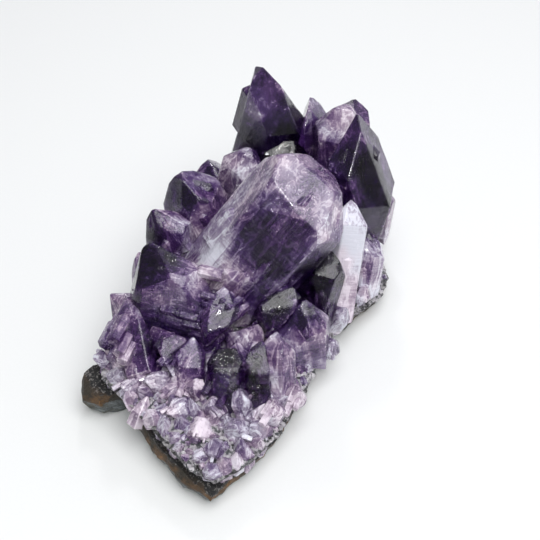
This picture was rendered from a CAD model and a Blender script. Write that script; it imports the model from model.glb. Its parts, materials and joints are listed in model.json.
"""Looks of the amethyst cluster: rock, bed, crystals and druse, built round its CAD parts.

Laid out as an add-on that is run as a script and never installed. Properties are in metres.
The tables and the materials below work in millimetres.
"""

import json
import math
import random
from typing import NamedTuple

import bpy
import numpy as np
from bpy.props import FloatProperty, FloatVectorProperty, IntProperty, PointerProperty
from mathutils import Matrix, Vector
from mathutils.bvhtree import BVHTree


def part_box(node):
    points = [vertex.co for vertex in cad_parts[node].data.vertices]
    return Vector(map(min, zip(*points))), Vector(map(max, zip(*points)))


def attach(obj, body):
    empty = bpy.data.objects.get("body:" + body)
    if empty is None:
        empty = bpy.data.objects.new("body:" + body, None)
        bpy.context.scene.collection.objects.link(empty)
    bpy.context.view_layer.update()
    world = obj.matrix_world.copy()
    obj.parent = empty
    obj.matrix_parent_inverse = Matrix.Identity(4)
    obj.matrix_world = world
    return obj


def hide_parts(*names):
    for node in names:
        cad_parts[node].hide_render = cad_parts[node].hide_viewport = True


bl_info = {
    "name": "Amethyst cluster",
    "version": (1, 0, 0),
    "blender": (4, 5, 0),
    "location": "3D View > Sidebar > Cluster",
    "description": "Builds the looks of an amethyst cluster round its CAD parts",
    "category": "Object",
}

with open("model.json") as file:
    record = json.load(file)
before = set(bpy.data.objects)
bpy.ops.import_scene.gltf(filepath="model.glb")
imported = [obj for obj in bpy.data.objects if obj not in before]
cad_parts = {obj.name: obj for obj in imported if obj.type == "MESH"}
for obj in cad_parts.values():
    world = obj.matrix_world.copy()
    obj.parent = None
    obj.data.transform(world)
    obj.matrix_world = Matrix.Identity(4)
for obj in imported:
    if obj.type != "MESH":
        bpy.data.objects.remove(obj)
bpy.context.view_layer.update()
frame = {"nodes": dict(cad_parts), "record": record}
MM = 0.001
DOWN = Vector((0, 0, -1))
ABOVE = 0.01  # how far over the bed a ray starts, in metres
ROCK_TILT = (0.09, 0.03)  # how fast the rock's top falls along X and Y
PYRAMID_SLOPE = math.radians(38.2)  # between a quartz point's axis and its sloping faces
QUARTZ_IOR = 1.54
DARK_SPECK = (0.05, 0.055, 0.06, 1)  # dark minerals in the bed and in its white grains

SAME_SPOT = 0.02 * MM  # corners of a CAD mesh closer than this are one corner

# The longest edge in each kind of mesh, and the size of its lumps, in millimetres.
CRYSTAL_MESH = 2.2
BED_MESH = 1.6
BED_LUMPS = (3.0, 2.0)
ROCK_MESH = 1.8
ROCK_LUMPS = (5.0, 2.2)

# Crystals.
ALONG = 0.02  # a face whose normal has less than this along an axis runs along it
CHIPS = 22  # chips in a crystal whose roughness is 1
CHIP_TILT = 0.12  # how far a chip turns from the mean of its corners' normals
CHIP_WELD = 0.3 * MM  # corners closer than this become one after chipping
SIDE_REACH = (0.12, 0.40)  # reach of a side point, as a share of its crystal's
SUNK_UPRIGHT, SUNK_SLOPING = 0.60, 0.30  # how deep it is sunk in the two kinds of face
SWELL_SIZE = 14.0  # size of the long waves in the faces, in millimetres
RIPPLE_SIZE = 3.0  # size of the short waves in broken faces, in millimetres
RIPPLE_HEIGHT = 0.5 * MM
SMOOTH_UNDER = math.radians(12)  # edges that turn less than this are shaded smooth

# Druse.
LEAST_UPWARD = 0.75  # of the bed's normal under a druse point
DRUSE_FRONT = -0.030  # half of the points are tried in front of this Y, in metres
PALE_FRONT = -0.035  # in front of this Y the points are paler
DRUSE_SPACING = 0.62  # least distance between two points, as a share of their summed reaches
DRUSE_PROBE = 2 * MM  # height over the bed where a point's depth in a crystal is measured
DRUSE_BURIED = 0.35  # the greatest depth, as a share of the point's reach
DRUSE_LEAN = (6, 4)  # how fast points lean outwards along X and Y, for each metre
RIM_SHARE, RIM_GAP = 0.45, 0.8 * MM  # distance kept from the rim: a share of the reach, and a gap


class Look(NamedTuple):
    """How one crystal differs from the others."""

    haze: float  # milky clouds, from 0 to 1
    roughness: float  # how broken its edges are, from 0 to 1
    side_points: int  # small points that stand out of its faces


LOOKS = {
    "broad_crystal": Look(0.75, 0.60, 20), "summit_point": Look(0.05, 0.05, 5),
    "rough_tower": Look(0.50, 0.70, 14), "glass_tower": Look(0.10, 0.10, 6),
    "left_prow": Look(0.50, 0.45, 12), "dusty_point": Look(0.70, 0.80, 10),
    "dark_point": Look(0.10, 0.30, 6), "left_upper": Look(0.20, 0.50, 14),
    "left_rough": Look(0.50, 0.80, 14), "cloudy_prism": Look(1.00, 0.10, 2),
    "companion": Look(0.35, 0.15, 4), "broken_tower": Look(0.50, 1.00, 4),
    "pink_blade": Look(0.60, 0.15, 2), "window_crystal": Look(0.35, 0.30, 6),
    "broken_stub": Look(0.45, 1.00, 8), "under_broad": Look(0.40, 0.50, 6),
    "cavity_point": Look(0.20, 0.40, 8), "shaded_point": Look(0.20, 0.60, 8),
    "left_low": Look(0.60, 0.40, 12), "recess_point": Look(0.50, 0.20, 4),
    "prow_foot": Look(0.40, 0.40, 8), "deep_point": Look(0.20, 0.30, 6),
    "wine_point": Look(0.10, 0.25, 6), "right_lilac": Look(0.80, 0.40, 8),
    "back_middle": Look(0.30, 0.40, 8), "back_left": Look(0.30, 0.40, 8),
    "back_low": Look(0.60, 0.40, 6), "rear_leaner": Look(0.60, 0.40, 6),
    "left_back": Look(0.40, 0.40, 8), "left_middle": Look(0.60, 0.40, 8),
    "left_notch": Look(0.60, 0.40, 6), "left_skirt": Look(0.50, 0.40, 8),
    "left_corner": Look(0.70, 0.40, 6),
}
EDGE_LOOK = Look(0.70, 0.30, 5)

# Milky clouds and clear windows inside the crystals: place and reach in millimetres, and
# how much paler the middle is.
CLOUDS = (
    (-6, -9, 42, 8, 0.30), (-5, 5, 53, 7, 0.12), (1, -12, 36, 7, 0.16),
    (12, 18, 70, 8, 0.14), (28, 17, 56, 6, 0.30), (28, 6, 54, 5, 0.28),
    (23, 1, 49, 6, 0.14), (8, -2, 53, 8, -0.16), (15, -4, 44, 8, -0.16),
    (14, -9, 34, 7, -0.14), (3, -1, 57, 5, -0.10), (14, 8, 64, 7, -0.08),
    (18, 15, 65, 5, -0.08), (-11, -19, 42, 7, 0.34), (-5, -24, 38, 6, 0.20),
    (-24, -24, 42, 9, -0.28), (-1, -32, 26, 8, -0.06), (-29, -5, 43, 5, 0.14),
    (-34, -9, 37, 5, -0.18), (-29, 7, 47, 9, -0.22), (-18, 26, 48, 7, 0.10),
    (-17, 40, 66, 8, 0.24), (-26, 38, 57, 7, -0.15), (-10, 41, 53, 9, -0.38),
    (-9, 55, 55, 6, 0.10), (26, 46, 54, 7, -0.34), (34, 42, 38, 8, -0.10),
    (32, 23, 35, 10, 0.26), (27, 24, 44, 7, 0.24), (11, -23, 32, 8, -0.12),
    (19, -24, 28, 6, 0.10), (-4, -43, 26, 7, -0.34), (19, -39, 26, 8, -0.35),
    (29, -32, 26, 6, -0.30), (32, -13, 25, 6, 0.06), (33, -25, 23, 6, 0.10),
    (26, 7, 36, 9, -0.38), (10, 58, 66, 5, 0.25), (20, 52, 61, 7, 0.36),
    (28, 54, 47, 6, 0.28),
)


class Quartz(NamedTuple):
    """One shade of quartz."""

    density: float  # how strongly it takes up light, for each metre
    level: float  # how pale it is, from 0 to 1
    body: float  # how solid it looks where it is darkest, from 0 to 1


QUARTZ = {
    "deep_amethyst": Quartz(380.0, 0.15, 0.22), "amethyst": Quartz(240.0, 0.36, 0.22),
    "lilac_quartz": Quartz(60.0, 0.53, 0.15), "clear_points": Quartz(20.0, 0.62, 0.02),
}


# --- Sizes and colours ----------------------------------------------------------------


class CLUSTER_PG_crystals(bpy.types.PropertyGroup):
    """Sizes and colours of the quartz crystals."""

    edge_bevel: FloatProperty(
        name="Edge bevel", description="Width of the worn flat along each crystal edge",
        default=0.0002, min=0.0, unit="LENGTH", precision=5,
    )
    skin: FloatProperty(
        name="Skin", description="How far the faces stand out from the CAD crystals",
        default=0.0002, min=0.0, unit="LENGTH", precision=5,
    )
    swell: FloatProperty(
        name="Swell", description="Height of the long waves in the faces",
        default=0.0008, min=0.0, unit="LENGTH", precision=5,
    )
    deepest_chip: FloatProperty(
        name="Deepest chip", description="Depth of the deepest chips in the roughest crystal",
        default=0.0024, min=0.0, unit="LENGTH", precision=5,
    )
    shadow_colour: FloatVectorProperty(
        name="Shadow", description="Deepest quartz, almost black",
        default=(0.007, 0.003, 0.014), min=0.0, max=1.0, subtype="COLOR",
    )
    deep_colour: FloatVectorProperty(
        name="Deep violet", description="Clear deep amethyst",
        default=(0.026, 0.009, 0.062), min=0.0, max=1.0, subtype="COLOR",
    )
    violet_colour: FloatVectorProperty(
        name="Violet", description="Middle amethyst",
        default=(0.078, 0.034, 0.142), min=0.0, max=1.0, subtype="COLOR",
    )
    lilac_colour: FloatVectorProperty(
        name="Lilac", description="Hazy amethyst",
        default=(0.195, 0.137, 0.240), min=0.0, max=1.0, subtype="COLOR",
    )
    haze_colour: FloatVectorProperty(
        name="Haze", description="Milky quartz",
        default=(0.43, 0.37, 0.45), min=0.0, max=1.0, subtype="COLOR",
    )
    white_colour: FloatVectorProperty(
        name="White", description="Veins and bruised edges",
        default=(0.78, 0.76, 0.81), min=0.0, max=1.0, subtype="COLOR",
    )


class CLUSTER_PG_druse(bpy.types.PropertyGroup):
    """Sizes of the small points that cover the bed."""

    widest: FloatProperty(
        name="Widest point", description="From the axis to a side of the widest point",
        default=0.0036, min=0.0, unit="LENGTH", precision=5,
    )
    narrowest: FloatProperty(
        name="Narrowest point", description="From the axis to a side of the narrowest point",
        default=0.0010, min=0.0, unit="LENGTH", precision=5,
    )
    sizes: IntProperty(
        name="Sizes", description="How many sizes of point there are", default=6, min=2
    )
    tries: IntProperty(
        name="Tries", description="Places tried for each size", default=1100, min=1
    )


class CLUSTER_PG_stone(bpy.types.PropertyGroup):
    """Sizes and colours of the rock and the bed."""

    rock_relief: FloatProperty(
        name="Rock relief", description="Height of the lumps in the rock",
        default=0.0016, min=0.0, unit="LENGTH", precision=5,
    )
    bed_relief: FloatProperty(
        name="Bed relief", description="Height of the lumps in the bed",
        default=0.0014, min=0.0, unit="LENGTH", precision=5,
    )
    white_grains: IntProperty(
        name="White grains", description="Loose-looking white grains on the bed",
        default=1300, min=1,
    )
    dark_grains: IntProperty(
        name="Dark grains", description="Dark grains along the bed's rim",
        default=1300, min=1,
    )
    sugar_colour: FloatVectorProperty(
        name="Sugar quartz", description="Granular white quartz",
        default=(0.62, 0.59, 0.63), min=0.0, max=1.0, subtype="COLOR",
    )
    crust_colour: FloatVectorProperty(
        name="Dark crust", description="Thin dark layer between the rock and the quartz",
        default=(0.014, 0.014, 0.015), min=0.0, max=1.0, subtype="COLOR",
    )
    rust_colour: FloatVectorProperty(
        name="Rust", description="Rusty upper rock",
        default=(0.17, 0.088, 0.034), min=0.0, max=1.0, subtype="COLOR",
    )
    agate_colour: FloatVectorProperty(
        name="Agate", description="Grey agate at the foot of the rock",
        default=(0.26, 0.29, 0.295), min=0.0, max=1.0, subtype="COLOR",
    )


class CLUSTER_PG_stage(bpy.types.PropertyGroup):
    """The camera, the lights and the floor."""

    lens: FloatProperty(
        name="Lens", description="Focal length, in millimetres", default=65.0, min=1.0
    )
    distance: FloatProperty(
        name="Distance", description="From the camera to the point it looks at",
        default=0.350, min=0.01, unit="LENGTH",
    )
    azimuth: FloatProperty(
        name="Azimuth", description="Turn of the camera round the cluster",
        default=math.radians(32), unit="ROTATION",
    )
    elevation: FloatProperty(
        name="Elevation", description="Height of the camera as an angle",
        default=math.radians(47), unit="ROTATION",
    )
    target: FloatVectorProperty(
        name="Target", description="The point that the camera looks at",
        default=(0.00841, 0.00487, 0.028), subtype="TRANSLATION", unit="LENGTH",
    )
    floor_colour: FloatVectorProperty(
        name="Floor", description="Colour of the table",
        default=(0.83, 0.845, 0.84), min=0.0, max=1.0, subtype="COLOR",
    )


def opaque(colour):
    """A colour property as the four numbers that a socket takes."""
    return (*colour, 1.0)


def dimmed(colour, share):
    """The same, with only a share of its brightness."""
    return (*(share * part for part in colour), 1.0)


# --- Shader maths ---------------------------------------------------------------------


def add_node(tree, kind, settings=None, values=None):
    """Any node: its settings first, then values or links for its inputs."""
    node = tree.nodes.new(kind)
    for setting, value in (settings or {}).items():
        if setting == "stops":
            set_stops(node.color_ramp, value)
        else:
            setattr(node, setting, value)
    for name, value in (values or {}).items():
        slot = node.inputs[name]
        if isinstance(value, Wire):
            tree.links.new(value.socket, slot)
        else:
            slot.default_value = value
    return node


def set_stops(ramp, stops):
    """Gives a colour ramp its stops, each a place from 0 to 1 and a colour."""
    while len(ramp.elements) < len(stops):
        ramp.elements.new(1.0)
    for element, (place, colour) in zip(ramp.elements, stops):
        element.position = place
        element.color = colour


class Wire:
    """A node's output that Python's operators work on, one Math node for each."""

    def __init__(self, tree, socket):
        self.tree = tree
        self.socket = socket

    def maths(self, operation, *values, clamp=False):
        settings = {"operation": operation, "use_clamp": clamp}
        node = add_node(self.tree, "ShaderNodeMath", settings, dict(enumerate(values)))
        return Wire(self.tree, node.outputs[0])

    def __add__(self, other):
        return self.maths("ADD", self, other)

    def __radd__(self, other):
        return self.maths("ADD", other, self)

    def __sub__(self, other):
        return self.maths("SUBTRACT", self, other)

    def __rsub__(self, other):
        return self.maths("SUBTRACT", other, self)

    def __mul__(self, other):
        return self.maths("MULTIPLY", self, other)

    def __rmul__(self, other):
        return self.maths("MULTIPLY", other, self)

    def __abs__(self):
        return self.maths("ABSOLUTE", self)

    def held(self):
        """The value, kept between 0 and 1."""
        return self.maths("ADD", self, 0.0, clamp=True)

    def rise(self, low, high):
        """0 at low, 1 at high, and smooth between them."""
        settings = {"interpolation_type": "SMOOTHSTEP"}
        values = {"Value": self, "From Min": low, "From Max": high}
        node = add_node(self.tree, "ShaderNodeMapRange", settings, values)
        return Wire(self.tree, node.outputs["Result"])


class Sheet:
    """The node tree of a material or a world, with a method for each thing drawn in it."""

    def __init__(self, owner, end="ShaderNodeOutputMaterial"):
        owner.use_nodes = True
        self.owner = owner
        self.tree = owner.node_tree
        self.tree.nodes.clear()
        self.end = end

    def node(self, kind, settings=None, values=None, output=0):
        """Any node, as a wire from one of its outputs."""
        node = add_node(self.tree, kind, settings, values)
        return Wire(self.tree, node.outputs[output])

    def attribute(self, name, output="Vector"):
        """What write_look or tone_flats stored on the mesh."""
        return self.node("ShaderNodeAttribute", {"attribute_name": name}, None, output)

    def parts(self, vector):
        """The X, Y and Z of a vector."""
        node = add_node(self.tree, "ShaderNodeSeparateXYZ", None, {0: vector})
        return [Wire(self.tree, slot) for slot in node.outputs]

    def vector(self, x, y, z):
        return self.node("ShaderNodeCombineXYZ", None, {"X": x, "Y": y, "Z": z})

    def scaled(self, vector, amounts):
        settings = {"operation": "MULTIPLY"}
        return self.node("ShaderNodeVectorMath", settings, {0: vector, 1: amounts})

    def object_place(self):
        """Place on the piece, in millimetres."""
        place = self.node("ShaderNodeTexCoord", None, None, "Object")
        return self.scaled(place, (1 / MM, 1 / MM, 1 / MM))

    def grain(self, where, scale, detail=2.0, roughness=0.5, distortion=0.0):
        """Smooth noise, from 0 to 1 about 0.5."""
        values = {
            "Vector": where, "Scale": scale, "Detail": detail, "Roughness": roughness,
            "Distortion": distortion,
        }
        return self.node("ShaderNodeTexNoise", None, values, "Fac")

    def cells(self, where, scale, output="Distance"):
        """Grains: the distance from the middle of one, or a colour for each."""
        return self.node(
            "ShaderNodeTexVoronoi", None, {"Vector": where, "Scale": scale}, output
        )

    def threads(self, where, scale, thinness, distortion):
        """Thin crooked lines, 1 at their middle and 0 between them."""
        noise = self.grain(where, scale, 3.0, 0.5, distortion)
        return (1.0 - abs(noise - 0.5) * thinness).held()

    def blend(self, share, first, second, kind="MIX"):
        """Mixes two colours."""
        settings = {"data_type": "RGBA", "blend_type": kind}
        return self.node("ShaderNodeMix", settings, {0: share, 6: first, 7: second}, 2)

    def bump(self, height, strength, distance):
        values = {"Height": height, "Strength": strength, "Distance": distance}
        return self.node("ShaderNodeBump", None, values)

    def principled(self, values):
        return self.node("ShaderNodeBsdfPrincipled", None, values)

    def finish(self, surface, volume=None):
        """Wires the shaders to the output, and returns the material or the world."""
        links = {"Surface": surface}
        if volume is not None:
            links["Volume"] = volume
        add_node(self.tree, self.end, None, links)
        return self.owner


# --- Mesh tools -----------------------------------------------------------------------


def select_only(*things):
    """Selects the things alone, the first of them active."""
    for thing in bpy.context.selected_objects:
        thing.select_set(False)
    for thing in things:
        thing.select_set(True)
    bpy.context.view_layer.objects.active = things[0]


def in_edit_mode(thing, *steps):
    """Runs each step, an operator and its values, on the whole of the thing's mesh."""
    select_only(thing)
    bpy.ops.object.mode_set(mode="EDIT")
    for step, values in steps:
        bpy.ops.mesh.select_all(action="SELECT")
        step(**values)
    bpy.ops.object.mode_set(mode="OBJECT")


def placed(name, mesh):
    """A new object that holds the mesh."""
    thing = bpy.data.objects.new(name, mesh)
    bpy.context.scene.collection.objects.link(thing)
    return thing


def cad_copy(node):
    """A free copy of a CAD node, with its corners merged and its flats made whole."""
    thing = placed(node + "_look", frame["nodes"][node].data.copy())
    thing.data.materials.clear()
    in_edit_mode(
        thing,
        (bpy.ops.mesh.remove_doubles, {"threshold": SAME_SPOT}),
        (bpy.ops.mesh.dissolve_limited, {"angle_limit": math.radians(1)}),
    )
    return thing


def corners(mesh):
    """Places of a mesh's vertices, as rows."""
    spots = np.empty(len(mesh.vertices) * 3)
    mesh.vertices.foreach_get("co", spots)
    return spots.reshape(-1, 3)


def corner_normals(mesh):
    """Normals of a mesh's vertices, as rows."""
    normals = np.empty(len(mesh.vertices) * 3)
    mesh.vertices.foreach_get("normal", normals)
    return normals.reshape(-1, 3)


def refine(thing, longest, rounds=8):
    """Cuts the mesh into triangles, and halves every edge over the length, in millimetres.

    The rounds are limited because a flat outline can make the same long edge again.
    """
    mesh = thing.data
    in_edit_mode(thing, (bpy.ops.mesh.quads_convert_to_tris, {}))
    for _ in range(rounds):
        spots = corners(mesh)
        ends = np.empty(len(mesh.edges) * 2, np.int32)
        mesh.edges.foreach_get("vertices", ends)
        ends = ends.reshape(-1, 2)
        lengths = np.linalg.norm(spots[ends[:, 0]] - spots[ends[:, 1]], axis=1)
        long = lengths > longest * MM
        if not long.any():
            return
        select_only(thing)
        bpy.ops.object.mode_set(mode="EDIT")
        bpy.ops.mesh.select_mode(type="EDGE")
        bpy.ops.mesh.select_all(action="DESELECT")
        bpy.ops.object.mode_set(mode="OBJECT")
        mesh.edges.foreach_set("select", long)
        bpy.ops.object.mode_set(mode="EDIT")
        bpy.ops.mesh.subdivide(number_cuts=1)
        bpy.ops.mesh.select_all(action="SELECT")
        bpy.ops.mesh.quads_convert_to_tris()
        bpy.ops.mesh.select_mode(type="VERT")
        bpy.ops.object.mode_set(mode="OBJECT")


def displace(thing, amount, size, kind="CLOUDS"):
    """Pushes a mesh in and out by a procedural texture. The size is in millimetres."""
    texture = bpy.data.textures.new(thing.name + kind, kind)
    texture.noise_scale = size * MM
    select_only(thing)
    bpy.ops.object.modifier_add(type="DISPLACE")
    modifier = thing.modifiers[-1]
    modifier.texture = texture
    modifier.texture_coords = "LOCAL"
    modifier.strength = amount
    bpy.ops.object.modifier_apply(modifier=modifier.name)


def joined(name, things):
    """Makes one object of several, and gives it and its mesh the name."""
    select_only(*things)
    bpy.ops.object.join()
    whole = bpy.context.view_layer.objects.active
    whole.name = name
    whole.data.name = name
    return whole


def shown(thing, material, slot, *nodes):
    """Gives a piece its material and its place in the frame."""
    thing.data.materials.clear()
    thing.data.materials.append(material)
    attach(thing, "root")
    if nodes:
        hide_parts(*nodes)


def write_vectors(mesh, name, values):
    """Stores a vector for each vertex."""
    attribute = mesh.attributes.new(name, "FLOAT_VECTOR", "POINT")
    attribute.data.foreach_set("vector", np.asarray(values, np.float32).ravel())


def by_place(items, place):
    """The items in an order that only their places decide, to 0.01 mm."""
    return sorted(items, key=lambda item: tuple(round(part / MM, 2) for part in place(item)))


def tone_flats(mesh, chance):
    """Gives each flat of a mesh a tone of its own, from -1 to 1."""
    attribute = mesh.attributes.new("facet", "FLOAT", "FACE")
    for face in by_place(mesh.polygons, lambda face: face.center):
        attribute.data[face.index].value = chance.uniform(-1, 1)


# --- Quartz ---------------------------------------------------------------------------


def quartz_material(name, colours):
    """Amethyst that is clear where it is dark, and milky, veined and worn where it is pale.

    It reads what write_look stores: "grain" is a place on the crystal, "wear" is the
    distance from an edge, the height and the slope, and "tone" is haze, seed and cloud.
    """
    found = bpy.data.materials.get(name + "_look")
    if found:
        return found
    shade = QUARTZ[name]
    sheet = Sheet(bpy.data.materials.new(name + "_look"))
    haze, seed, cloud = sheet.parts(sheet.attribute("tone"))
    edge, share, steep = sheet.parts(sheet.attribute("wear"))
    facet = sheet.attribute("facet", "Fac")
    x, y, z = sheet.parts(sheet.attribute("grain"))
    place = sheet.vector(x + seed * 50.0, y + seed * 30.0, z + seed * 20.0)
    clouds = sheet.grain(place, 0.07, 2.0, 0.5, 0.4)
    patches = sheet.grain(place, 0.22, 3.0, 0.55, 0.6)
    fine = sheet.grain(place, 1.3, 3.0, 0.6)
    veins = sheet.threads(sheet.scaled(place, (1.0, 1.0, 0.35)), 0.28, 13.0, 0.7)
    fibres = sheet.threads(sheet.scaled(place, (1.0, 1.0, 0.05)), 0.9, 12.0, 0.3)
    lines = sheet.grain(sheet.scaled(place, (0.06, 0.06, 1.1)), 1.0, 3.0, 0.7, 0.5)
    striped = (lines - 0.5) * (1.1 - steep * 1.3)
    veiled = veins * (patches + haze * 0.35 - 0.42).rise(0.0, 0.3)
    specks = fine.rise(0.62, 0.70) * (patches + clouds + haze * 0.4 - 1.05).rise(0.0, 0.2)
    bruised = (patches * 1.3 - edge * 1.2 + (fine - 0.5) * 1.2).rise(0.35, 0.8)
    amount = (
        shade.level + cloud + facet * 0.13 + haze * 0.12 + (clouds - 0.5) * (1.1 - haze * 0.5)
        + (patches - 0.5) * (0.45 - haze * 0.2) + (fine - 0.5) * 0.12 + striped * 0.32
        + share.rise(0.5, 0.0) * 0.14 + veiled * 0.22 + specks * 0.35 + bruised * 0.22
        + fibres * haze * 0.08
    ).held()
    stops = (
        (0.0, opaque(colours.shadow_colour)), (0.25, opaque(colours.deep_colour)),
        (0.45, opaque(colours.violet_colour)), (0.62, opaque(colours.lilac_colour)),
        (0.82, opaque(colours.haze_colour)), (1.0, opaque(colours.white_colour)),
    )
    colour = sheet.node("ShaderNodeValToRGB", {"stops": stops}, {"Fac": amount})
    warm = sheet.grain(place, 0.05).rise(0.42, 0.58)
    tint = sheet.blend(warm, (0.92, 0.95, 1.0, 1), (1.0, 0.91, 0.96, 1))
    colour = sheet.blend(1.0, colour, tint, "MULTIPLY")
    relief = sheet.bump(striped * 1.4 + fine * 0.25 + patches * 0.5, 0.5, 0.00035)
    rough = (0.03 + (patches - 0.45).held() * 0.6 + (lines - 0.5).held() * 0.3).held()
    clear = sheet.principled({
        "Base Color": sheet.blend(clouds, (0.78, 0.66, 0.95, 1), (0.97, 0.93, 1.0, 1)),
        "Roughness": rough, "IOR": QUARTZ_IOR, "Transmission Weight": 1.0, "Normal": relief,
    })
    milky = sheet.principled({
        "Base Color": colour, "Roughness": (rough + 0.15).held(), "IOR": QUARTZ_IOR,
        "Normal": relief, "Coat Weight": 0.6, "Coat Roughness": 0.05, "Coat IOR": 1.5,
    })
    share_milky = (amount * 1.2 + shade.body).held()
    surface = sheet.node("ShaderNodeMixShader", None, {0: share_milky, 1: clear, 2: milky})
    volume = sheet.node(
        "ShaderNodeVolumeAbsorption", None,
        {"Color": (0.66, 0.42, 0.80, 1), "Density": shade.density},
    )
    return sheet.finish(surface, volume)


def growth_frame(mesh):
    """Axes of a crystal, as rows: two across, then the growth axis, which points up.

    The growth axis lies in the prism's faces, so it is the direction that most of the
    surface runs along.
    """
    faces = [(Vector(face.normal), face.area) for face in mesh.polygons]
    best = (-1.0, Vector((0, 0, 1)))
    for number, (first, _) in enumerate(faces):
        for second, _ in faces[:number]:
            axis = first.cross(second)
            if axis.length < 0.2:
                continue
            axis.normalize()
            along = sum(area for normal, area in faces if abs(normal.dot(axis)) < ALONG)
            best = max(best, (along, axis), key=lambda found: found[0])
    axis = best[1] if best[1].z > 0 else -best[1]
    front = max(faces, key=lambda face: face[1] if abs(face[0].dot(axis)) < ALONG else 0)[0]
    front = (front - front.dot(axis) * axis).normalized()
    return np.array([front, axis.cross(front), axis])


def nearest_edge(spots, starts, ends):
    """Distance of each spot from the nearest of the edges, in metres."""
    nearest = np.full(len(spots), 1.0)
    for start, end in zip(starts, ends):
        along = end - start
        share = np.clip((spots - start) @ along / (along @ along), 0, 1)
        gaps = np.linalg.norm(spots - start - share[:, None] * along, axis=1)
        nearest = np.minimum(nearest, gaps)
    return nearest


def cloudiness(spots):
    """How much paler or darker the clouds make each spot."""
    amount = np.zeros(len(spots))
    for x, y, z, reach, paler in CLOUDS:
        gaps = np.linalg.norm(spots / MM - (x, y, z), axis=1)
        amount += paler * np.exp(-((gaps / reach) ** 2))
    return amount


def write_look(mesh, axes, edge, haze, seed):
    """Stores what the quartz material reads."""
    spots = corners(mesh)
    local = spots @ axes.T / MM
    tip = local[:, 2].max()
    share = (local[:, 2] - local[:, 2].min()) / np.ptp(local[:, 2])
    local[:, 2] = tip - local[:, 2]
    steep = np.abs(corner_normals(mesh) @ axes[2])
    write_vectors(mesh, "grain", local)
    write_vectors(mesh, "wear", np.stack([edge, share, steep], axis=1))
    tone = np.tile([haze, seed, 0.0], (len(spots), 1))
    tone[:, 2] = cloudiness(spots)
    write_vectors(mesh, "tone", tone)


def point_shape(depth, crooked=0):
    """A six-sided point, one unit from its axis to each side, with its apex at the origin."""
    bpy.ops.object.select_all(action="DESELECT")
    bpy.ops.mesh.primitive_cylinder_add(
        vertices=6, radius=1 / math.cos(math.pi / 6), depth=depth, rotation=(0, 0, math.pi / 6)
    )
    point = bpy.context.active_object
    bpy.ops.object.transform_apply(location=True, rotation=True, scale=True)
    bpy.ops.object.mode_set(mode="EDIT")
    bpy.ops.mesh.select_all(action="DESELECT")
    bpy.ops.object.mode_set(mode="OBJECT")
    for face in point.data.polygons:
        face.select = face.normal.z > 0.9
    bpy.ops.object.mode_set(mode="EDIT")
    rise = 1 / math.tan(PYRAMID_SLOPE)
    bpy.ops.mesh.extrude_region_move(TRANSFORM_OT_translate={"value": (0, 0, rise)})
    bpy.ops.mesh.merge(type="CENTER")
    bpy.ops.object.mode_set(mode="OBJECT")
    tone_flats(point.data, random.Random(crooked))
    in_edit_mode(
        point,
        (bpy.ops.transform.vertex_random, {"offset": 0.28 if crooked else 0.0, "seed": crooked}),
        (bpy.ops.mesh.bevel, {"offset": 0.06, "segments": 1}),
        (bpy.ops.mesh.normals_make_consistent, {"inside": False}),
    )
    apex = corners(point.data)[:, 2].max()
    point.data.transform(Matrix.Translation((0, 0, -apex)))
    return point


def chip_edges(thing, count, deepest, chance):
    """Breaks small flats off the upper corners and edges of a crystal."""
    mesh = thing.data
    for _ in range(count):
        spots = corners(mesh)
        normals = corner_normals(mesh)
        ends = [edge.vertices[:] for edge in mesh.edges]
        ends = [pair for pair in ends if normals[list(pair), 2].sum() > 0]
        pair = chance.choice(by_place(ends, lambda pair: spots[list(pair)].mean(axis=0)))
        facing = normals[list(pair)].mean(axis=0)
        facing = facing + [chance.gauss(0, CHIP_TILT) for _ in range(3)]
        facing /= np.linalg.norm(facing)
        height = (spots @ facing).max() - deepest * chance.uniform(0.15, 1.0)
        cut = {
            "plane_co": Vector(facing * height), "plane_no": Vector(facing),
            "use_fill": True, "clear_outer": True, "threshold": 0.001 * MM,
        }
        in_edit_mode(thing, (bpy.ops.mesh.bisect, cut))
    in_edit_mode(thing, (bpy.ops.mesh.remove_doubles, {"threshold": CHIP_WELD}))


def side_points(mesh, axes, count, size, chance, point):
    """Copies of the point, standing parallel to a crystal and part sunk in its faces.

    The size is the distance from the crystal's axis to its sides, in metres.
    """
    spots = corners(mesh)
    faces = [
        (np.array(face.normal), face.area, np.array(by_place(spots[list(face.vertices)], list)))
        for face in by_place(mesh.polygons, lambda face: face.center) if face.normal.z > -0.3
    ]
    made = []
    weights = [area * max(0.02, normal[2] + 0.6) for normal, area, _ in faces]
    for _ in range(count):
        normal, _, places = chance.choices(faces, weights)[0]
        mix = np.array([chance.random() for _ in places])
        spot = (mix / mix.sum()) @ places
        reach = size * chance.uniform(*SIDE_REACH)
        share = SUNK_UPRIGHT if abs(normal @ axes[2]) < 0.1 else SUNK_SLOPING
        sunk = reach * share * chance.uniform(0.7, 1.3)
        spread = chance.uniform(0.7, 1.3)
        turn = Matrix(np.column_stack([axes[0] * spread, axes[1], axes[2]]).tolist())
        apex = spot - normal * sunk + axes[2] * reach * 0.6
        copy = point.data.copy()
        copy.transform(Matrix.Translation(apex) @ turn.to_4x4() @ Matrix.Scale(reach, 4))
        made.append(placed("side_point", copy))
    return made


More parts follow.
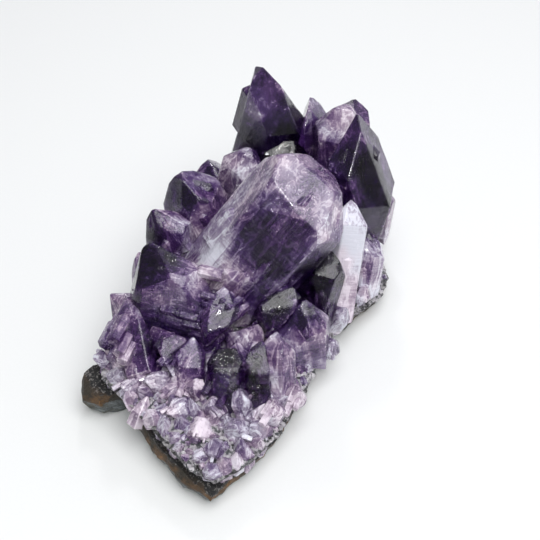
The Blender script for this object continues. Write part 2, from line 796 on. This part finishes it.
def crystal_piece(node, sizes, point):
    """One crystal: its CAD shape, chipped, bevelled and waved, with its side points."""
    look = LOOKS.get(node, EDGE_LOOK)
    chance = random.Random(node)
    thing = cad_copy(node)
    mesh = thing.data
    axes = growth_frame(mesh)
    breadth = np.ptp(corners(mesh) @ axes[:2].T, axis=0).min() / 2
    deepest = sizes.deepest_chip * look.roughness
    chip_edges(thing, round(CHIPS * look.roughness), deepest, chance)
    tone_flats(mesh, chance)
    sides = side_points(mesh, axes, look.side_points, breadth, chance, point)
    spots = corners(mesh)
    ends = np.array([edge.vertices[:] for edge in mesh.edges])
    starts, ends = spots[ends[:, 0]], spots[ends[:, 1]]
    in_edit_mode(
        thing,
        (bpy.ops.mesh.bevel, {"offset": sizes.edge_bevel, "segments": 1}),
        (bpy.ops.transform.shrink_fatten, {"value": sizes.skin}),
    )
    refine(thing, CRYSTAL_MESH)
    displace(thing, sizes.swell, SWELL_SIZE)
    displace(thing, RIPPLE_HEIGHT * look.roughness, RIPPLE_SIZE)
    thing = joined(thing.name, [thing, *sides])
    edge = nearest_edge(corners(thing.data), starts, ends) / MM
    write_look(thing.data, axes, edge, look.haze, chance.random() * 10)
    select_only(thing)
    bpy.ops.object.shade_smooth_by_angle(angle=SMOOTH_UNDER)
    return thing


def add_crystals(context, wanted):
    """Builds every quartz crystal whose CAD name passes the test."""
    sizes = context.scene.cluster_crystals
    slots = {part["node"]: part["material_slot"] for part in frame["record"]["subparts"]}
    point = point_shape(4.0)
    for node in sorted(frame["nodes"]):
        if slots[node] in QUARTZ and wanted(node):
            thing = crystal_piece(node, sizes, point)
            shown(thing, quartz_material(slots[node], sizes), slots[node], node)
    bpy.data.objects.remove(point)


class CLUSTER_OT_crystals(bpy.types.Operator):
    """Add the large named crystals, each with its chips and side points"""

    bl_idname = "cluster.crystals"
    bl_label = "Large crystals"

    def execute(self, context):
        add_crystals(context, lambda node: node in LOOKS)
        return {"FINISHED"}


class CLUSTER_OT_edge_points(bpy.types.Operator):
    """Add the small points round the bed's edge"""

    bl_idname = "cluster.edge_points"
    bl_label = "Edge points"

    def execute(self, context):
        add_crystals(context, lambda node: node not in LOOKS)
        return {"FINISHED"}


# --- Druse ----------------------------------------------------------------------------


def bed_surface():
    """The CAD bed, ready for rays."""
    mesh = frame["nodes"]["quartz_bed"].data
    return BVHTree.FromPolygons(
        [vert.co for vert in mesh.vertices], [face.vertices[:] for face in mesh.polygons]
    )


def crystal_planes():
    """For each CAD crystal, its faces' normals and their distances from the origin."""
    planes = []
    for node, thing in sorted(frame["nodes"].items()):
        if node in ("host_rock", "quartz_bed"):
            continue
        normals = np.array([face.normal[:] for face in thing.data.polygons])
        centres = np.array([face.center[:] for face in thing.data.polygons])
        planes.append((normals, (normals * centres).sum(axis=1)))
    return planes


def depth_inside(spot, planes):
    """How deep a spot lies inside the nearest crystal, in metres; below 0 it is outside."""
    return max(float((offsets - normals @ spot).min()) for normals, offsets in planes)


def near_rim(bed, spot, margin):
    """Whether the bed ends within the margin of a place."""
    for x, y in ((margin, 0), (-margin, 0), (0, margin), (0, -margin)):
        if bed.ray_cast(spot + Vector((x, y, ABOVE)), DOWN)[0] is None:
            return True
    return False


def druse_spots(sizes, chance):
    """Places on the bed for small points, the widest first: (spot, reach in metres)."""
    bed = bed_surface()
    planes = crystal_planes()
    low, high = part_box("quartz_bed")
    taken = np.empty((0, 3))
    reaches = np.empty(0)
    lift = np.array([0, 0, DRUSE_PROBE])
    for step in range(sizes.sizes):
        share = step / (sizes.sizes - 1)
        reach = sizes.widest * (sizes.narrowest / sizes.widest) ** share
        for number in range(sizes.tries):
            in_front = number % 2 == 0
            x = chance.uniform(low.x, high.x)
            y = chance.uniform(low.y, DRUSE_FRONT if in_front else high.y)
            spot, normal, _, _ = bed.ray_cast(Vector((x, y, high.z + ABOVE)), DOWN)
            if spot is None or normal.z < LEAST_UPWARD:
                continue
            if near_rim(bed, spot, RIM_SHARE * reach + RIM_GAP):
                continue
            gaps = np.linalg.norm(taken - np.array(spot), axis=1)
            if (gaps < (reaches + reach) * DRUSE_SPACING).any():
                continue
            if depth_inside(np.array(spot) + lift, planes) > DRUSE_BURIED * reach:
                continue
            taken = np.vstack([taken, spot])
            reaches = np.append(reaches, reach)
            yield spot, reach * chance.uniform(0.85, 1.15)


def druse_point(shape, spot, reach, chance):
    """One small point, leaning outwards from the middle of the bed."""
    rise = reach * chance.uniform(0.7, 1.5)
    x, y = (spot[axis] * DRUSE_LEAN[axis] + chance.gauss(0, 0.3) for axis in range(2))
    lean = Vector((x, y, 1))
    turn = lean.to_track_quat("Z", "Y").to_matrix()
    turn = turn @ Matrix.Rotation(chance.uniform(0, 1), 3, "Z")
    apex = spot + lean.normalized() * rise
    spread = reach * chance.uniform(0.75, 1.25)
    mesh = shape.data.copy()
    stretch = Matrix.Diagonal((spread, reach, reach * 1.2, 1))
    mesh.transform(Matrix.Translation(apex) @ turn.to_4x4() @ stretch)
    edge = np.full(len(mesh.vertices), 0.6)  # an even, slight wear
    haze = chance.uniform(0.5, 1.0)
    write_look(mesh, np.array(turn.transposed()), edge, haze, chance.random() * 9)
    return placed("druse_point", mesh)


class CLUSTER_OT_druse(bpy.types.Operator):
    """Add the druse: small points that cover the bed, in three shades of quartz"""

    bl_idname = "cluster.druse"
    bl_label = "Druse"

    def execute(self, context):
        chance = random.Random("druse")
        shapes = [point_shape(1.2, crooked) for crooked in range(1, 7)]
        groups = {"clear_points": [], "lilac_quartz": [], "amethyst": []}
        for spot, reach in druse_spots(context.scene.cluster_druse, chance):
            thing = druse_point(chance.choice(shapes), spot, reach, chance)
            pick = chance.random() + (0.3 if spot.y < PALE_FRONT else -0.3)
            kind = "clear_points" if pick > 0.6 else "lilac_quartz" if pick > 0.1 else "amethyst"
            groups[kind].append(thing)
        colours = context.scene.cluster_crystals
        for kind, things in groups.items():
            shown(joined("druse_" + kind, things), quartz_material(kind, colours), kind)
        for shape in shapes:
            bpy.data.objects.remove(shape)
        return {"FINISHED"}


# --- Bed ------------------------------------------------------------------------------


def over_rock(sheet, place):
    """Height of a place, in millimetres, that follows the tilt of the rock's top."""
    x, y, z = sheet.parts(place)
    return z + x * ROCK_TILT[0] + y * ROCK_TILT[1]


def sugar_material(name, light, dark, share, crust=None):
    """Granular quartz, light with dark spots, over a dark crust where one is given.

    The higher the share, the more of the surface is spots.
    """
    sheet = Sheet(bpy.data.materials.new(name))
    place = sheet.object_place()
    mottle = sheet.grain(place, 0.16, 4.0, 0.6, 0.5)
    fine = sheet.grain(place, 1.4, 4.0, 0.7)
    bend = sheet.scaled(sheet.vector(fine, mottle, fine), (0.8, 0.8, 0.8))
    bent = sheet.node("ShaderNodeVectorMath", {"operation": "ADD"}, {0: place, 1: bend})
    tone, other, _ = sheet.parts(sheet.cells(bent, 0.9, "Color"))
    grey = (tone * 0.5 + mottle * 0.9 - 0.2).held()
    spots = (tone * 0.55 + mottle * 0.9).rise(0.86 - share, 0.94 - share)
    colour = sheet.blend(grey, (0.24, 0.22, 0.25, 1), light)
    colour = sheet.blend(spots, colour, dark)
    if crust:
        height = over_rock(sheet, place) + (mottle - 0.5) * 5.0 + (tone - 0.5) * 0.8
        speckled = sheet.blend(tone.rise(0.72, 0.78), crust, (0.30, 0.29, 0.29, 1))
        colour = sheet.blend(height.rise(12.6, 13.6), speckled, colour)
    relief = sheet.bump(sheet.cells(bent, 0.9) * 1.2 + fine * 0.6, 0.9, 0.0006)
    shader = sheet.principled({
        "Base Color": colour, "Roughness": (0.12 + other * 0.4).held(), "IOR": QUARTZ_IOR,
        "Normal": relief, "Coat Weight": 0.5, "Coat Roughness": 0.1,
    })
    return sheet.finish(shader)


class CLUSTER_OT_bed(bpy.types.Operator):
    """Add the bed of granular quartz"""

    bl_idname = "cluster.bed"
    bl_label = "Quartz bed"

    def execute(self, context):
        stone = context.scene.cluster_stone
        bed = cad_copy("quartz_bed")
        in_edit_mode(bed, (bpy.ops.transform.shrink_fatten, {"value": 0.25 * MM}))
        refine(bed, BED_MESH)
        displace(bed, stone.bed_relief, BED_LUMPS[0])
        displace(bed, stone.bed_relief * 0.7, BED_LUMPS[1], "VORONOI")
        select_only(bed)
        bpy.ops.object.shade_flat()
        material = sugar_material(
            "sugary_quartz", opaque(stone.sugar_colour), DARK_SPECK, 0.10,
            opaque(stone.crust_colour),
        )
        shown(bed, material, "quartz_bed", "quartz_bed")
        return {"FINISHED"}


def rim_spot(bed, low, high, inset, chance):
    """A place on the bed: half of them on its edge, the others on top near the rim.

    The inset is the spread of those, as a share of the way from the rim to the middle.
    """
    middle = (low + high) / 2
    heading = chance.uniform(0, math.tau)
    ray = Vector((math.cos(heading), math.sin(heading), 0))
    start = middle + ray * 0.2
    if chance.random() < 0.5:
        start.z = chance.uniform(low.z, high.z)
        return bed.ray_cast(start, -ray)[0]
    start.z = low.z + 4 * MM
    rim = bed.ray_cast(start, -ray)[0]
    if rim is None:
        return None
    spot = middle.lerp(rim, 1 - abs(chance.gauss(0, inset)))
    spot.z = high.z + ABOVE
    return bed.ray_cast(spot, DOWN)[0]


def scatter_grains(name, count, sizes, inset, material):
    """Small irregular grains over the bed, most of them near its rim.

    The sizes are the smallest and the largest radius, in millimetres.
    """
    bed = bed_surface()
    chance = random.Random(name)
    low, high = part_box("quartz_bed")
    bpy.ops.object.select_all(action="DESELECT")
    bpy.ops.mesh.primitive_ico_sphere_add(subdivisions=1, radius=1)
    grain = bpy.context.active_object
    in_edit_mode(grain, (bpy.ops.transform.vertex_random, {"offset": 0.35, "seed": 3}))
    made = []
    while len(made) < count:
        spot = rim_spot(bed, low, high, inset, chance)
        if spot is None:
            continue
        size = chance.uniform(*sizes) * MM
        axis = (chance.random(), 1, chance.random())
        turn = Matrix.Rotation(chance.uniform(0, math.tau), 4, axis)
        shape = Matrix.Diagonal((size, size * chance.uniform(0.5, 1), size * 0.8, 1))
        mesh = grain.data.copy()
        mesh.transform(Matrix.Translation(spot) @ turn @ shape)
        made.append(placed("grain", mesh))
    bpy.data.objects.remove(grain)
    shown(joined(name, made), material, "quartz_bed")


class CLUSTER_OT_grains(bpy.types.Operator):
    """Add the white and the dark grains along the bed's rim"""

    bl_idname = "cluster.grains"
    bl_label = "Rim grains"

    def execute(self, context):
        stone = context.scene.cluster_stone
        white = sugar_material("white_grain", (0.80, 0.78, 0.81, 1), DARK_SPECK, -0.04)
        black = sugar_material(
            "dark_grain", (0.07, 0.075, 0.08, 1), opaque(stone.crust_colour), 0.35
        )
        scatter_grains("white_grains", stone.white_grains, (0.5, 1.3), 0.05, white)
        scatter_grains("dark_grains", stone.dark_grains, (0.4, 1.2), 0.03, black)
        return {"FINISHED"}


# --- Rock -----------------------------------------------------------------------------


def rock_material(stone):
    """Grey agate at the foot, rusty rock over it, and a dark crust on top."""
    sheet = Sheet(bpy.data.materials.new("rusty_agate_rock"))
    place = sheet.object_place()
    mottle = sheet.grain(place, 0.13, 5.0, 0.65, 0.6)
    fine = sheet.grain(place, 1.1, 5.0, 0.7)
    height = over_rock(sheet, place) + (mottle - 0.5) * 7.0
    layered = sheet.scaled(sheet.vector(0.0, 0.0, height), (0.0, 0.0, 1.4))
    bands = sheet.grain(layered, 1.0, 2.0)
    rust = sheet.blend(
        mottle.rise(0.38, 0.66), (0.030, 0.024, 0.016, 1), opaque(stone.rust_colour)
    )
    rust = sheet.blend((fine * mottle).rise(0.30, 0.42), rust, (0.36, 0.18, 0.06, 1))
    agate = sheet.blend(
        bands.rise(0.4, 0.6), dimmed(stone.agate_colour, 0.22), opaque(stone.agate_colour)
    )
    olive = sheet.blend(fine.rise(0.4, 0.6), (0.018, 0.018, 0.010, 1), (0.10, 0.085, 0.035, 1))
    agate = sheet.blend((mottle + bands - 0.95).rise(0.0, 0.2), agate, olive)
    colour = sheet.blend(height.rise(3.8, 5.2), agate, rust)
    crust = sheet.blend(fine.rise(0.54, 0.6), opaque(stone.crust_colour), (0.22, 0.21, 0.20, 1))
    colour = sheet.blend(height.rise(8.0, 9.2), colour, crust)
    colour = sheet.blend(fine.rise(0.66, 0.74) * 0.5, colour, (0.42, 0.39, 0.34, 1))
    shader = sheet.principled({
        "Base Color": colour, "Roughness": (0.3 + fine * 0.5).held(), "IOR": 1.5,
        "Normal": sheet.bump(fine + mottle + bands * 0.6, 0.9, 0.0008),
    })
    return sheet.finish(shader)


class CLUSTER_OT_rock(bpy.types.Operator):
    """Add the slab of rusty agate rock"""

    bl_idname = "cluster.rock"
    bl_label = "Host rock"

    def execute(self, context):
        stone = context.scene.cluster_stone
        rock = cad_copy("host_rock")
        refine(rock, ROCK_MESH)
        under = corners(rock.data)[:, 2] < 0.2 * MM
        displace(rock, stone.rock_relief, ROCK_LUMPS[0])
        displace(rock, stone.rock_relief / 2, ROCK_LUMPS[1], "VORONOI")
        spots = corners(rock.data)
        spots[under, 2] = 0.0
        spots[:, 2] = np.maximum(spots[:, 2], 0.0)
        rock.data.vertices.foreach_set("co", spots.ravel())
        rock.data.update()
        select_only(rock)
        bpy.ops.object.shade_flat()
        shown(rock, rock_material(stone), "host_rock", "host_rock")
        return {"FINISHED"}


# --- Stage ----------------------------------------------------------------------------

# Lights: name, place in metres, watts, and width in metres. Each faces the origin.
LIGHTS = (
    ("key_light", (0.26, -0.08, 0.85), 7.0, 0.8),
    ("spark_light", (0.25, -0.45, 0.75), 1.0, 0.08),
    ("back_spark_light", (-0.35, 0.55, 0.60), 0.8, 0.08),
)


def add_floor(colour):
    """A pale table with faint marks."""
    bpy.ops.object.select_all(action="DESELECT")
    bpy.ops.mesh.primitive_plane_add(size=3.0, location=(0, 0, -0.2 * MM))
    floor = bpy.context.active_object
    floor.name = "floor"
    sheet = Sheet(bpy.data.materials.new("pale_table"))
    marks = sheet.grain(sheet.object_place(), 0.9, 3.0)
    shade = sheet.blend(marks, dimmed(colour, 0.97), opaque(colour))
    paint = sheet.finish(sheet.principled({"Base Color": shade, "Roughness": 0.7}))
    floor.data.materials.append(paint)


def add_world():
    """A studio that is bright behind and above the cluster, and dim in front of it."""
    world = bpy.data.worlds.new("studio")
    bpy.context.scene.world = world
    sheet = Sheet(world, "ShaderNodeOutputWorld")
    place = sheet.node("ShaderNodeTexCoord", None, None, "Generated")
    behind = sheet.node(
        "ShaderNodeVectorMath", {"operation": "DOT_PRODUCT"},
        {0: place, 1: (0.15, 0.82, 0.45)}, "Value",
    )
    stops = (
        (0.0, (0.20, 0.20, 0.205, 1)), (0.45, (0.34, 0.34, 0.35, 1)),
        (0.9, (0.76, 0.75, 0.82, 1)),
    )
    light = sheet.node("ShaderNodeValToRGB", {"stops": stops}, {"Fac": behind})
    sheet.finish(sheet.node("ShaderNodeBackground", None, {"Color": light}))


def add_lights():
    """A wide lamp over the cluster, and two small ones for glints."""
    for name, spot, energy, size in LIGHTS:
        bpy.ops.object.light_add(type="AREA", location=spot)
        light = bpy.context.active_object
        light.name = name
        light.data.energy = energy
        light.data.size = size
        light.rotation_euler = Vector(spot).to_track_quat("Z", "Y").to_euler()


def add_camera(stage):
    """The camera, at its distance from the target and turned to it."""
    flat = math.cos(stage.elevation)
    back = Vector((
        math.sin(stage.azimuth) * flat, -math.cos(stage.azimuth) * flat,
        math.sin(stage.elevation),
    ))
    data = bpy.data.cameras.new("camera")
    data.lens = stage.lens
    camera = placed("camera", data)
    camera.location = Vector(stage.target) + back * stage.distance
    camera.rotation_euler = back.to_track_quat("Z", "Y").to_euler()
    bpy.context.scene.camera = camera


class CLUSTER_OT_stage(bpy.types.Operator):
    """Add the table, the studio light and the camera"""

    bl_idname = "cluster.stage"
    bl_label = "Stage"

    def execute(self, context):
        stage = context.scene.cluster_stage
        add_floor(stage.floor_colour)
        add_world()
        add_lights()
        add_camera(stage)
        context.scene.view_settings.view_transform = "Standard"
        return {"FINISHED"}


# --- Add-on ---------------------------------------------------------------------------

GROUPS = {
    "cluster_crystals": CLUSTER_PG_crystals, "cluster_druse": CLUSTER_PG_druse,
    "cluster_stone": CLUSTER_PG_stone, "cluster_stage": CLUSTER_PG_stage,
}
OPERATORS = (
    CLUSTER_OT_rock, CLUSTER_OT_bed, CLUSTER_OT_grains, CLUSTER_OT_crystals,
    CLUSTER_OT_edge_points, CLUSTER_OT_druse, CLUSTER_OT_stage,
)


class CLUSTER_PT_panel(bpy.types.Panel):
    """The cluster's pieces in the order they are built, and their sizes and colours"""

    bl_idname = "CLUSTER_PT_panel"
    bl_label = "Amethyst cluster"
    bl_space_type = "VIEW_3D"
    bl_region_type = "UI"
    bl_category = "Cluster"

    def draw(self, context):
        for operator in OPERATORS:
            self.layout.operator(operator.bl_idname)
        for name, group in GROUPS.items():
            box = self.layout.box()
            for setting in group.__annotations__:
                box.prop(getattr(context.scene, name), setting)


CLASSES = (*GROUPS.values(), *OPERATORS, CLUSTER_PT_panel)


def register():
    for cls in CLASSES:
        bpy.utils.register_class(cls)
    for name, group in GROUPS.items():
        setattr(bpy.types.Scene, name, PointerProperty(type=group))


def unregister():
    for name in GROUPS:
        delattr(bpy.types.Scene, name)
    for cls in reversed(CLASSES):
        bpy.utils.unregister_class(cls)


def main():
    """Builds every piece and the stage."""
    register()
    bpy.ops.cluster.rock()
    bpy.ops.cluster.bed()
    bpy.ops.cluster.grains()
    bpy.ops.cluster.crystals()
    bpy.ops.cluster.edge_points()
    bpy.ops.cluster.druse()
    bpy.ops.cluster.stage()


if __name__ == "__main__":
    main()
